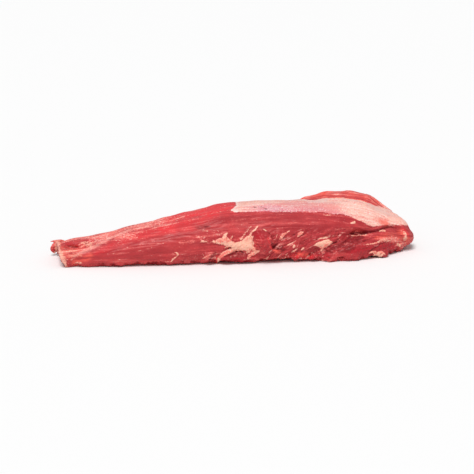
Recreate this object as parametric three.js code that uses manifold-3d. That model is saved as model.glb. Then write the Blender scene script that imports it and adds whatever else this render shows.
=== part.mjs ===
// A whole raw beef tenderloin, lying on its flat side on a table, as it is sold: the thin tail towards
// -X, the thick butt towards +X, the torn side with its fat towards -Y and the table under it at Z = 0.
// Millimetres, +Z up. The origin is at the middle of the cut's base.
//
// The cut is one piece of meat, so it is one closed solid. It is joined from the muscles that a butcher
// can feel in it: the long fillet, the wing along the back of the butt and the head roll under its front.
// The slips of torn muscle and the cushions of fat that the trimming leaves lie on its front face.

import * as THREE from "three";
import { LoftGeometry } from "three/addons/geometries/LoftGeometry.js";
import { ImprovedNoise } from "three/addons/math/ImprovedNoise.js";
import { mergeVertices } from "three/addons/utils/BufferGeometryUtils.js";
import Module from "manifold-3d";

const wasm = await Module();
wasm.setup();

// The driving dimensions.
const TAIL_END = -201;
const BUTT_END = 209;
const SINK = 4; // how far each muscle reaches below the table before the table cuts it flat
const MEAT_COLOUR = 0xb4474a;

// The fillet itself, the full length of the cut: its front and back edges and its height along X.
const FILLET = {
  from: TAIL_END,
  to: BUTT_END,
  rings: 80,
  points: 38,
  front: along([-201, -78], [-150, -75], [-84, -72], [0, -63], [60, -56.5], [101, -49], [145, -31], [209, -14]),
  back: along([-201, -28], [-176, -17], [-130, 1], [-84, 12], [0, 31], [60, 40], [124, 42], [209, 42]),
  top: along([-201, 17], [-176, 24], [-158, 25.5], [-84, 41], [0, 57], [50, 57], [124, 58], [160, 54], [209, 32]),
  roundFrom: -193,
  roundTo: 122,
};

// The wing, a second muscle that lies along the back of the butt and leaves a seam between them.
const WING = {
  from: -26,
  to: 198,
  rings: 36,
  points: 22,
  front: along([-26, 2], [60, 8], [197, 14]),
  back: along([-26, 40], [40, 54], [72, 63], [94, 75], [130, 84.5], [158, 84.5], [197, 72]),
  top: along([-26, 34], [40, 43], [74, 46.5], [88, 53.5], [130, 56.5], [162, 54], [199, 38]),
  roundFrom: 96,
  roundTo: 147,
};

// The roll of muscle under the front of the butt, below the deep cleft.
const HEAD_ROLL = {
  from: 86,
  to: 208,
  rings: 26,
  points: 24,
  front: along([86, -51], [118, -53], [145, -48], [166, -36], [190, -17], [208, -1]),
  back: along([86, -20], [145, -8], [208, 14]),
  top: along([86, 8], [118, 18], [132, 22.5], [150, 26], [180, 31], [208, 27]),
  roundFrom: 112,
  roundTo: 166,
};

// Strips on the fillet's front face, each along a few [x, z] places on it: half its width and half its
// thickness in the middle, and how far its middle line stands before the face there.
const FAT = [
  { path: [[-26, 26], [-8, 25], [10, 25], [25, 29]], wide: 6.5, thick: 3.4, proud: -1.4 },
  { path: [[-16, 27], [-7, 32], [2, 29]], wide: 4.5, thick: 3, proud: -1.2 },
  { path: [[6, 25], [19, 18], [31, 12]], wide: 6, thick: 3.2, proud: -1 },
  { path: [[7, 27], [18, 34], [30, 43]], wide: 2.2, thick: 2.2, proud: -0.8 },
  { path: [[5, 17], [-7, 10], [-18, 1]], wide: 3.4, thick: 3.4, proud: 0.4 },
  { path: [[22, 15], [18, 8], [15, 3]], wide: 4.6, thick: 3.4, proud: 0.4 },
  { path: [[84, 15], [97, 22], [111, 28]], wide: 6, thick: 3.6, proud: -0.6 },
  { path: [[48, 28], [54, 33], [61, 39]], wide: 2.8, thick: 2.4, proud: -0.8 },
];

// The slips of muscle: the fold beside the fat, the ragged foot, and the bundles that fan up to the right
// between the knuckle and the head roll.
const SLIPS = [
  { path: [[-27, 17], [-25, 8], [-22, -1]], wide: 6.5, thick: 5, proud: 0 },
  { path: [[6, 9], [20, 4], [37, 6]], wide: 6, thick: 5, proud: 0 },
  { path: [[39, 6], [50, 13], [60, 17]], wide: 6, thick: 5, proud: -1 },
  { path: [[46, 2], [62, 12], [82, 33]], wide: 7, thick: 4.5, proud: -0.6 },
  { path: [[63, 0], [78, 10], [102, 34]], wide: 6.5, thick: 4.5, proud: 0 },
  { path: [[80, -1], [94, 6], [122, 32]], wide: 6.5, thick: 4.5, proud: 0 },
  { path: [[100, -2], [110, 6], [128, 22]], wide: 6, thick: 4.5, proud: 1 },
];

// Free lumps: the torn shreds behind the tail's front lip, the knuckle beside the fat, the blunt end of the
// butt, and the fat below the head roll.
const LUMPS = [
  { x: -196, y: -39, z: 9, long: 13, deep: 13, high: 4.5, lean: -24 },
  { x: -199, y: -31, z: 12, long: 9, deep: 7, high: 3.4, lean: 24 },
  { x: 36, y: -56, z: 24, long: 12, deep: 10, high: 13, lean: -12 },
  { x: 188, y: 7, z: 17.5, long: 20, deep: 21, high: 12, lean: -1 },
  { x: 167, y: -31, z: 2.6, long: 12, deep: 7, high: 5, lean: 4 },
];

// Hollows: the pocket between the two lips of the tail, and the cleft above the head roll.
const TAIL_POCKET = { x: -171, y: -60, z: 22.5, long: 17, deep: 9, high: 8, lean: 5 };
const CLEFT = { x: 154, y: -33, z: 29.4, long: 38, deep: 12, high: 2.7, lean: 5 };

// The butcher's cut across the tail, a plane that leans back towards -X.
const TAIL_CUT = { x: -191, y: -81, turn: 9 };

// How a muscle's section is drawn: its lower half is fuller, because meat slumps where it lies, and its
// points stand closest on the front, where the torn face has the most form.
const UPPER_SQUARENESS = 2.3;
const LOWER_SQUARENESS = 3.6;
const FRONT_CROWDING = 0.3;

const noise = new ImprovedNoise();

// A smooth value along the cut, through a few [x, value] knots.
function along(...knots) {
  const places = Float32Array.from(knots, (knot) => knot[0]);
  const values = Float32Array.from(knots, (knot) => knot[1]);
  const curve = new THREE.CubicInterpolant(places, values, 1);
  return (x) => curve.evaluate(x)[0];
}

// A number raised to a power with its sign kept, which squares a circle off into a fuller section.
function signedPower(value, power) {
  return Math.sign(value) * Math.abs(value) ** power;
}

// How far a rounded end has closed at x: 1 where it starts, 0 where it comes to a point.
function closing(x, start, end) {
  const gone = THREE.MathUtils.clamp((x - start) / (end - start), 0, 1);
  return Math.sqrt(1 - gone * gone);
}

// The section of a muscle at x: its middle and its half width and half height.
function sectionOf(spec, x) {
  const size = Math.max(0.04, closing(x, spec.roundTo, spec.to) * closing(-x, -spec.roundFrom, -spec.from));
  const [front, back, top] = [spec.front(x), spec.back(x), spec.top(x)];
  return {
    size,
    midY: (front + back) / 2,
    midZ: (top - SINK) / 2,
    halfWidth: ((back - front) / 2) * size,
    halfHeight: ((top + SINK) / 2) * size,
  };
}

// Soft lumps, bundles of fibre with long, low waves down the grain, and a foot that winds in and out.
function grainRelief(x, y, z) {
  const lumps = noise.noise(x / 34, y / 20, z / 17) * 2;
  const bundles = noise.noise(x / 60 + 7, y / 9, z / 8) * 1.4;
  const foot = noise.noise(x / 10, 3.3, 8.1) * 3 * THREE.MathUtils.smoothstep(-z, -12, 0);
  return lumps + bundles + foot;
}

// A muscle is a loft of rounded sections along X, counted from the back edge over the top to the front.
function muscle(spec) {
  const sections = [];
  for (let ring = 0; ring <= spec.rings; ring++) {
    const share = ring / spec.rings;
    const eased = share - Math.sin(share * 2 * Math.PI) * 0.08;
    const x = THREE.MathUtils.lerp(spec.from, spec.to, eased);
    const { size, midY, midZ, halfWidth, halfHeight } = sectionOf(spec, x);
    const section = [];
    for (let point = 0; point < spec.points; point++) {
      const even = (point / spec.points) * 2 * Math.PI;
      const turn = even + FRONT_CROWDING * Math.sin(even);
      const power = 2 / (Math.sin(turn) > 0 ? UPPER_SQUARENESS : LOWER_SQUARENESS);
      const y = midY + signedPower(Math.cos(turn), power) * halfWidth;
      const z = midZ + signedPower(Math.sin(turn), power) * halfHeight;
      const lift = grainRelief(x, y, z) * size;
      section.push(new THREE.Vector3(x, y + Math.cos(turn) * lift, z + Math.sin(turn) * lift));
    }
    sections.push(section);
  }
  return new LoftGeometry(sections, { capStart: true, capEnd: true });
}

// Where the front face of the fillet stands at x and z.
function frontFace(x, z) {
  const { midY, midZ, halfWidth, halfHeight } = sectionOf(FILLET, x);
  const height = THREE.MathUtils.clamp(Math.abs(z - midZ) / halfHeight, 0, 0.98);
  const squareness = z > midZ ? UPPER_SQUARENESS : LOWER_SQUARENESS;
  return midY - halfWidth * (1 - height ** squareness) ** (1 / squareness);
}

// A strip that swells out of the front face and sinks back into it at both ends.
function strip({ path, wide, thick, proud }) {
  const steps = 4 + 2 * path.length;
  const sides = 9;
  const route = new THREE.CatmullRomCurve3(path.map(([x, z]) => new THREE.Vector3(x, 0, z)));
  const sections = [];
  for (let step = 0; step <= steps; step++) {
    const share = 0.02 + 0.96 * (step / steps);
    const swell = Math.sin(share * Math.PI) ** 0.6;
    const spot = route.getPointAt(share);
    const ahead = route.getTangentAt(share);
    const across = new THREE.Vector3(-ahead.z, 0, ahead.x);
    const uneven = 1 + 0.35 * noise.noise(spot.x / 6, spot.z / 6, wide);
    const middle = frontFace(spot.x, spot.z) - proud + thick * (1 - swell);
    const section = [];
    for (let side = 0; side < sides; side++) {
      const turn = (side / sides) * 2 * Math.PI;
      const sideways = Math.cos(turn) * wide * swell * uneven;
      const point = spot.clone().addScaledVector(across, sideways);
      const lean = frontFace(point.x, point.z) - frontFace(spot.x, spot.z);
      point.y = middle + lean - Math.sin(turn) * thick * swell;
      section.push(point);
    }
    sections.push(section);
  }
  return new LoftGeometry(sections, { capStart: true, capEnd: true });
}

// A small uneven ball, long along X before it leans.
function lump({ x, y, z, long, deep, high, lean }) {
  const rings = 8;
  const ball = new THREE.SphereGeometry(1, 2 * rings, rings);
  const spot = ball.getAttribute("position");
  const point = new THREE.Vector3();
  for (let i = 0; i < spot.count; i++) {
    point.fromBufferAttribute(spot, i);
    point.multiplyScalar(1 + 0.22 * noise.noise(point.x * 1.6 + x, point.y * 1.6 + z, point.z * 1.6));
    spot.setXYZ(i, point.x * long, point.y * deep, point.z * high);
  }
  return ball.rotateY(-THREE.MathUtils.degToRad(lean)).translate(x, y, z);
}

// A closed mesh as a solid that can be joined and cut.
function solid(geometry) {
  const bare = new THREE.BufferGeometry();
  bare.setIndex(geometry.getIndex());
  bare.setAttribute("position", geometry.getAttribute("position"));
  const merged = mergeVertices(bare, 1e-3);
  return new wasm.Manifold(
    new wasm.Mesh({
      numProp: 3,
      vertProperties: merged.getAttribute("position").array,
      triVerts: new Uint32Array(merged.index.array),
    }),
  );
}

// What lies below the table, which cuts the base flat.
function underTable() {
  const depth = 40;
  return new THREE.BoxGeometry(600, 400, depth).translate(0, 0, -depth / 2);
}

// What the butcher's cut takes off the tail.
function beyondTailCut() {
  const reach = 60;
  const waste = new THREE.BoxGeometry(reach, 4 * reach, 2 * reach).translate(-reach / 2, 0, 0);
  return waste.rotateZ(THREE.MathUtils.degToRad(TAIL_CUT.turn)).translate(TAIL_CUT.x, TAIL_CUT.y, 0);
}

function tenderloinSolid() {
  let meat = solid(muscle(FILLET)).subtract(solid(beyondTailCut())).subtract(solid(lump(CLEFT)));
  const grown = [muscle(WING), muscle(HEAD_ROLL), ...SLIPS.map(strip), ...FAT.map(strip), ...LUMPS.map(lump)];
  for (const piece of grown) meat = meat.add(solid(piece));
  for (const hollow of [lump(TAIL_POCKET), underTable()]) meat = meat.subtract(solid(hollow));
  return meat;
}

// The solid's mesh as a geometry, moved so that the origin is at the middle of its base.
function geometryOf(meat) {
  const cut = meat.getMesh();
  const geometry = new THREE.BufferGeometry();
  geometry.setAttribute("position", new THREE.BufferAttribute(cut.vertProperties, 3));
  geometry.setIndex(new THREE.BufferAttribute(cut.triVerts, 1));
  geometry.computeBoundingBox();
  const middle = geometry.boundingBox.getCenter(new THREE.Vector3());
  return geometry.translate(-middle.x, -middle.y, -geometry.boundingBox.min.z);
}

const tenderloin = new THREE.Mesh(
  geometryOf(tenderloinSolid()),
  new THREE.MeshStandardMaterial({ color: MEAT_COLOUR, roughness: 0.35, metalness: 0 }),
);
tenderloin.name = "tenderloin";

const group = new THREE.Group();
group.add(tenderloin);

export default group;
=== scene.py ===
"""A whole raw beef tenderloin: its flesh, fat and silverskin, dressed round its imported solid."""

import itertools
import logging
import math
from collections.abc import Iterator
from dataclasses import dataclass
from enum import Enum
from typing import NamedTuple

import bpy
import numpy as np
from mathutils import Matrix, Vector
from mathutils.bvhtree import BVHTree


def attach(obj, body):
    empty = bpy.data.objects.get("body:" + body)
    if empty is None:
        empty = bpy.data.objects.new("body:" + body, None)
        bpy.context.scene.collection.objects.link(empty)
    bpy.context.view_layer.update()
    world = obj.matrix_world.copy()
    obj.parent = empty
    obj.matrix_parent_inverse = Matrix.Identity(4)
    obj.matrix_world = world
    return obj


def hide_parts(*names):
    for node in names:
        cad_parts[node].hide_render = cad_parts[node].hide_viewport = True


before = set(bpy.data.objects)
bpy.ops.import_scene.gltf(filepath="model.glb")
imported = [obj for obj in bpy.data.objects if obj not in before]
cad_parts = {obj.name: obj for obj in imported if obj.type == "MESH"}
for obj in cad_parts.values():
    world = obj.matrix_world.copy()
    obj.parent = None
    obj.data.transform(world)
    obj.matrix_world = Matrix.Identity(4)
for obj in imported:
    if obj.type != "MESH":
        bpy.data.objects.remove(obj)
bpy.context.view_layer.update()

LOG = logging.getLogger("tenderloin")
NODE = "tenderloin"
MM = 0.001
FAR_OUTSIDE = -9.0

Array = np.ndarray
Piece = bpy.types.Object
Places = tuple[tuple[float, float, float], ...]
Colour = tuple[float, float, float, float]


@dataclass(frozen=True)
class View:
    """A place to look at the meat from, and the flat picture that is seen from there.

    The picture is measured in millimetres at the target, right of and above its middle.
    """

    azimuth: float
    elevation: float
    target: tuple[float, float, float] = (0.0052, 0.0, 0.014)
    distance: float = 1.6
    lens: float = 105.0

    def axes(self) -> tuple[Array, Array, Array]:
        """Returns the picture's right, its up and the way back to the eye, each of length 1."""
        turn = math.radians(self.azimuth)
        tilt = math.radians(self.elevation)
        right = np.array((math.cos(turn), math.sin(turn), 0))
        level = np.array((math.sin(turn), -math.cos(turn), 0))
        back = level * math.cos(tilt) + np.array((0, 0, math.sin(tilt)))
        return right, np.cross(back, right), back

    def eye(self) -> Array:
        """Returns where the eye is."""
        return np.array(self.target) + self.axes()[2] * self.distance

    def seen(self, points: Array) -> Array:
        """Projects points on the picture.

        Args:
            points: places in metres, one a row.

        Returns:
            Their places in the picture, in millimetres, one a row.
        """
        right, up, back = self.axes()
        offset = points - self.eye()
        depth = -(offset @ back)
        flat = np.stack((offset @ right, offset @ up), axis=1)
        return flat * (self.distance / MM / depth)[:, None]

    def toward(self, across: float, above: float) -> Vector:
        """Returns the direction from the eye through a place of the picture, in millimetres."""
        right, up, back = self.axes()
        way = (right * across + up * above) * MM - back * self.distance
        return Vector(way).normalized()


class Side(Enum):
    """The views that the meat's features are placed from."""

    FRONT = View(0, 15)
    TOP = View(0, 89.9)


@dataclass(frozen=True)
class Group:
    """Strokes of one kind, each a few places with half its width there, in a view's millimetres.

    A painted stroke has a strength, and fades out beside itself over its half width times its softness
    and towards its ends, the left one first, over a length.
    """

    strokes: tuple[Places, ...]
    side: Side = Side.FRONT
    strength: float = 1.0
    soft: float = 0.7
    fade: float = 0.0


FAT_STAR = Group((
    ((-29.5, -5.4, 0.8), (-24, -5.4, 2.2), (-19, -5, 3.6), (-13, -5.8, 4.6), (-7.5, -8, 3.8),
     (-2.5, -10.8, 4.2), (4, -10.2, 5.2), (10.5, -9.2, 6.2), (14, -8.2, 5.4)),
    ((-11.6, 4.6, 0.5), (-14.2, 0.4, 2.2), (-13.6, -4, 3.6)),
    ((-4.8, 2.4, 0.3), (-6.6, -1.4, 0.6), (-8.4, -4.4, 1.2)),
    ((16.2, 12.2, 0.5), (10.4, 5.2, 0.7), (4.4, -2.4, 0.9)),
    ((23.7, 11.6, 0.8), (17.4, 5.2, 1.3), (11.4, -2, 1.9), (8.6, -5, 2.2)),
    ((19, 1.4, 0.5), (15.4, -3, 2.6), (15, -11, 3.8)),
    ((14, -10, 4.2), (12.8, -14.6, 2.6), (11.8, -17.6, 1)),
    ((25.7, -16.2, 0.7), (21, -18, 1.8), (16.4, -20.6, 2.1), (13, -24, 1.6)),
    ((18, -12, 1.4), (20, -14.6, 1.6), (21.6, -17.4, 1.4)),
    ((3.5, -12.7, 3), (-6.9, -15.4, 2.2), (-15, -19.7, 2.2), (-20.2, -24.2, 1.6), (-21.2, -28.4, 0.9)),
    ((-3.5, -9.7, 1.6), (-11.6, -11.8, 1), (-17.9, -14.8, 0.5)),
))

FAT_STREAKS_AND_GLINTS = Group((
    ((60.5, 6.9, 0.5), (56.1, 4.3, 0.9), (52.4, 1.4, 1.7), (49.2, -2.3, 0.7)),
    ((46.5, 2.3, 0.5), (45.4, 0.7, 0.7)),
    ((76.4, 6, 0.5), (72.7, 3.9, 1.9), (69.9, 0.7, 0.6)),
    ((68.3, -3.9, 0.3), (61.9, -7.5, 0.6), (56.7, -10.6, 0.3)),
    ((70.9, -12.5, 0.3), (63.4, -17.8, 0.6)),
    ((88.6, -9.6, 0.6), (93.8, -8.2, 2.4), (98.2, -8.6, 3.8), (102.4, -8, 4.2), (106.6, -6.6, 2.2),
     (111, -6.2, 0.5)),
    ((100, -6.6, 2.2), (104.4, -4.2, 1.1), (107.6, -3, 0.4)),
    ((97.6, -15.4, 0.7), (98.4, -12, 2.2)),
    ((30.2, -25, 0.3), (34, -23.2, 0.8), (38.4, -20.8, 0.3)),
    ((59.5, -19, 0.3), (56.6, -21, 0.6), (55.4, -24.6, 0.3)),
    # Painted highlights: these two strokes are pale glints on the knuckle, drawn as fat.
    ((24, 7.6, 0.3), (25.6, 5.4, 0.5), (26.4, 2.4, 0.3)),
    ((30, 9.6, 0.3), (32, 8.2, 0.4), (34.6, 7, 0.2)),
    ((93.2, -3, 0.3), (99.5, -1.2, 0.8), (114.6, 1.6, 0.3)),
    ((74.7, -14.4, 0.5), (76.4, -12.7, 1.2)),
    ((64.8, -12.2, 0.5), (66.2, -9.7, 1)),
    ((67.5, -22.6, 0.5), (68.3, -27.8, 1.3)),
    ((129.6, -1.4, 0.5), (140, 1.9, 0.7), (148.1, 1.6, 1), (149.3, 3.7, 0.5)),
    ((149.3, -9, 0.3), (160.9, -6.7, 0.8), (169, -3, 1.6), (175.2, -4.6, 0.9), (180.6, -2.5, 0.4)),
    ((164.4, 6.3, 0.3), (167.8, 7.2, 0.7), (172.5, 6.6, 0.3)),
    ((152.8, -18.8, 0.6), (157, -17.2, 1.6), (161.5, -19.2, 2.3), (166, -17.8, 1.5), (171.9, -20.3, 0.7)),
    ((158, -20.6, 1), (163.5, -21.6, 1.4), (168.5, -20.4, 1.2)),
    # A painted highlight: a white glint below the silverskin, drawn as fat.
    ((132.8, 16, 1.1), (135.8, 17, 1.4)),
    ((100, 24.5, 0.2), (105.3, 25.2, 0.5), (111, 25.8, 0.2)),
    ((194.5, 5.5, 0.7), (195.2, 1.6, 1.2), (193.8, -2.4, 0.8)),
    ((127, 1, 0.3), (135, 2, 0.6), (142, 3.4, 0.4)),
    ((-180, -11, 0.4), (-177.5, -9.4, 0.9), (-175.5, -8.8, 0.4)),
    ((-178.2, -6.2, 0.3), (-175.8, -5.2, 0.8), (-173.6, -5, 0.4)),
    ((-174.6, -11.8, 0.4), (-171.6, -10.2, 0.8), (-169.4, -9.4, 0.4)),
    ((-172.8, -7, 0.3), (-170.4, -6, 0.7), (-168.4, -5.6, 0.3)),
    ((-71.8, -17.7, 0.6), (-68.6, -19, 0.9), (-69.7, -22.5, 0.6), (-73.4, -25, 1), (-76.4, -28.4, 0.6)),
    ((-42.8, -5.7, 0.5), (-38.8, -5, 1), (-34.1, -5.3, 0.5)),
    ((-40, 7, 0.2), (-37, 6.6, 0.3), (-34, 6.8, 0.2)),
    ((-40.5, -25.6, 0.3), (-35.6, -23, 0.6), (-31, -20.6, 0.3)),
    ((-186.9, -30.8, 0.9), (-183.8, -30.3, 1.9), (-180.6, -29.6, 0.8)),
))

SEAM_FAT = Group((
    ((30, 31, 0.5), (52, 29, 1.6), (84, 26, 1)),
    ((96, 26, 0.6), (122, 23, 2.2), (150, 22, 1.2)),
), Side.TOP)

SINEW = Group((
    ((-206.8, -7.6, 0.8), (-206.4, -15.6, 1.3), (-204.6, -21.8, 1.6), (-202.4, -27.7, 1.7),
     (-200.2, -32.2, 1.1)),
    ((-191, -26, 0.7), (-187, -22.2, 1.4), (-180, -17.8, 2), (-168, -12.6, 2.1),
     (-157, -7.6, 2.2), (-149, -3, 2.4), (-141, 1, 3), (-133, 5, 2.6), (-124, 8.4, 1.6)),
))

CLEFTS = Group((
    ((111.1, -12.2, 0.5), (115.7, -10, 0.9), (123.4, -7.2, 1), (129.6, -1.6, 1.1), (135.4, 1.6, 1.3),
     (144.7, 4.4, 1.5), (155.1, 6, 1.6), (162, 7.6, 1.6), (169, 9.8, 1.5), (174.5, 12, 1.3),
     (184.6, 10.8, 0.7)),
))

CRACKS = Group((
    ((30, 8, 0.4), (38, 4, 0.8), (42.5, -4, 1)),
    ((-200, -8.4, 0.5), (-194, -10.4, 1.1), (-187, -11.6, 1.3), (-181, -12.2, 0.4)),
    ((183, 7, 0.5), (190, 3, 0.8), (192, -5, 0.7), (190, -12, 0.5)),
    ((188, -6, 0.5), (186, -11, 0.9), (181, -15, 0.5)),
    ((158, 3, 0.3), (168, 1, 0.6), (180, 2, 0.3)),
    ((127, 2.4, 0.3), (137, 4.4, 0.7), (150, 5.6, 0.9), (161.7, 7, 1), (170.6, 11.4, 1.1),
     (178, 13.8, 1), (184.6, 10.4, 0.4)),
    ((176, -4.6, 0.5), (168, -7.6, 1.1), (160, -12.5, 1.3), (152.5, -17, 0.6)),
    ((126, -14, 0.5), (138, -8.5, 1.2), (150, -3.6, 1.1), (161, -0.5, 0.6)),
    ((20.4, 35.4, 1.7), (22.2, 34.4, 1.7)),
    ((29.6, 34.6, 1.5), (33.6, 32.2, 1.9)),
    ((27, 36.4, 1.3), (28.4, 35.8, 1.3)),
    ((125, 42, 1.6), (127.4, 41.4, 1.6)),
    ((-44, 10.6, 0.3), (-39, 10.8, 0.8), (-34, 11.8, 0.3)),
    ((39.9, -5.8, 0.7), (41.1, -10.4, 2.1), (45.6, -13.9, 1.5), (52.1, -14.1, 0.6)),
    ((46.4, -2, 0.5), (47, -5.4, 1.3), (45.2, -9, 1.1), (43, -11.6, 0.8)),
    ((84.4, -22.4, 0.4), (88.4, -24.2, 1.2), (91, -25.6, 0.5)),
    ((102.4, -22.2, 0.4), (106, -23.6, 1.1), (110, -25.8, 0.5)),
    ((-33.6, -30.4, 0.8), (-31, -26.8, 1.8), (-28.4, -22.4, 0.8)),
    ((-0.6, -11.5, 0.3), (-5.8, -12.4, 0.7), (-11.6, -14.5, 0.7), (-15.6, -16.7, 0.3)),
    ((-9.8, -20.8, 0.6), (-3.5, -17.4, 1), (3.5, -16.9, 0.9), (10.4, -18.5, 0.6)),
    ((58.4, -23.7, 0.8), (62.5, -24.1, 1.5), (66, -25.9, 0.9)),
    ((103.6, -15, 0.7), (107.6, -16.9, 1.5), (112.8, -19, 0.8)),
    ((20.1, 0, 0.3), (18.5, -4.6, 0.6), (18.9, -10.4, 0.6), (22.9, -15, 0.5)),
    ((53.2, -12, 0.5), (62.5, -5.3, 0.7), (72.9, 0.7, 0.3)),
    ((68.3, -18.3, 0.5), (77.5, -10.9, 0.8), (86.8, -4.4, 0.5)),
    ((83.3, -20.8, 0.6), (93.8, -15.4, 0.9), (105.3, -10.8, 0.8), (116.9, -4.4, 0.5)),
    ((76.4, -24.9, 0.5), (78.7, -20.3, 0.8), (83.9, -15, 0.5)),
))

LUMPS = Group((
    ((-23.6, -21.8, 1.4), (-24.4, -25.4, 2.8), (-24, -29, 2.8), (-23, -32, 1.3)),
    ((41.7, -16.2, 0.9), (45.1, -16.4, 2.8), (48.6, -15.7, 1)),
    ((62.5, -21.5, 1.4), (68.3, -23.6, 3.5), (73.5, -21.5, 1)),
    ((77.5, -22.2, 1), (83.9, -22.9, 3.2), (91.4, -22, 2.8), (97.2, -21.3, 1)),
    ((100.7, -25.2, 0.8), (105.3, -25.8, 1.9), (111.1, -25.8, 0.8)),
    ((-17.4, -25, 1.4), (-8.1, -22.9, 3.7), (3.5, -22.2, 3.7), (11.6, -22.9, 1.7)),
    ((6.9, -27, 0.9), (15, -27.2, 1.6), (22, -26.4, 0.8)),
    ((28.9, -23.8, 0.9), (38.2, -22.9, 2.1), (49.8, -22.2, 1.3)),
    ((28.9, 3.2, 0.9), (34.7, 0.6, 2.1), (38.8, -4.1, 1.4)),
    ((116, -9.5, 0.8), (124, -5, 1.9), (131, -0.5, 1.5), (137, 2.4, 0.7)),
    ((124, -9, 0.8), (133, -4.6, 1.8), (142, -0.6, 1.8), (150, 2.8, 0.7)),
))

KNUCKLE = Group((
    ((22.5, 8.4, 2.4), (25.5, 2.5, 5.4), (29.5, -4.5, 7), (33, -11, 5), (35, -15, 2.4)),
))

SHREDS = Group((
    ((-200.5, -4.6, 1.6), (-208, -4.6, 1.9), (-213, -4.6, 1.4), (-216.4, -5.2, 0.7)),
    ((-204, -7.6, 1.8), (-210.5, -8.6, 2.3), (-214.2, -12.6, 2.3), (-213.6, -16.4, 1.9),
     (-210.4, -18, 1.2)),
    ((-205.4, -8, 1.8), (-208.4, -11.6, 1.9), (-208.4, -16, 1.7), (-206, -20.4, 1.1)),
    ((-208.6, -8, 1.6), (-211.2, -11.6, 1.9), (-210.4, -15.6, 1.6)),
))

# The left edge of the tail in the front view's picture: heights, and how far right the edge is there.
TAIL_END = ((-33, -28, -20, -9, -3, 6), (-200.6, -203, -206, -207.5, -205, -202))


@dataclass(frozen=True)
class Push:
    """A soft push on the solid in the front view's picture: where, which way and how far around."""

    place: tuple[float, float]
    way: tuple[float, float]
    reach: float


PUSHES = (
    Push((169, 42), (0, -2.4), 18),
    Push((142, 52), (0, -1.4), 14),
    Push((160, -24), (0, 3), 16),
    Push((190, 20), (2, 5), 16),
    Push((88, 50), (0, -2.6), 18),
    Push((203, 0), (2.6, 0), 16),
)

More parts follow.
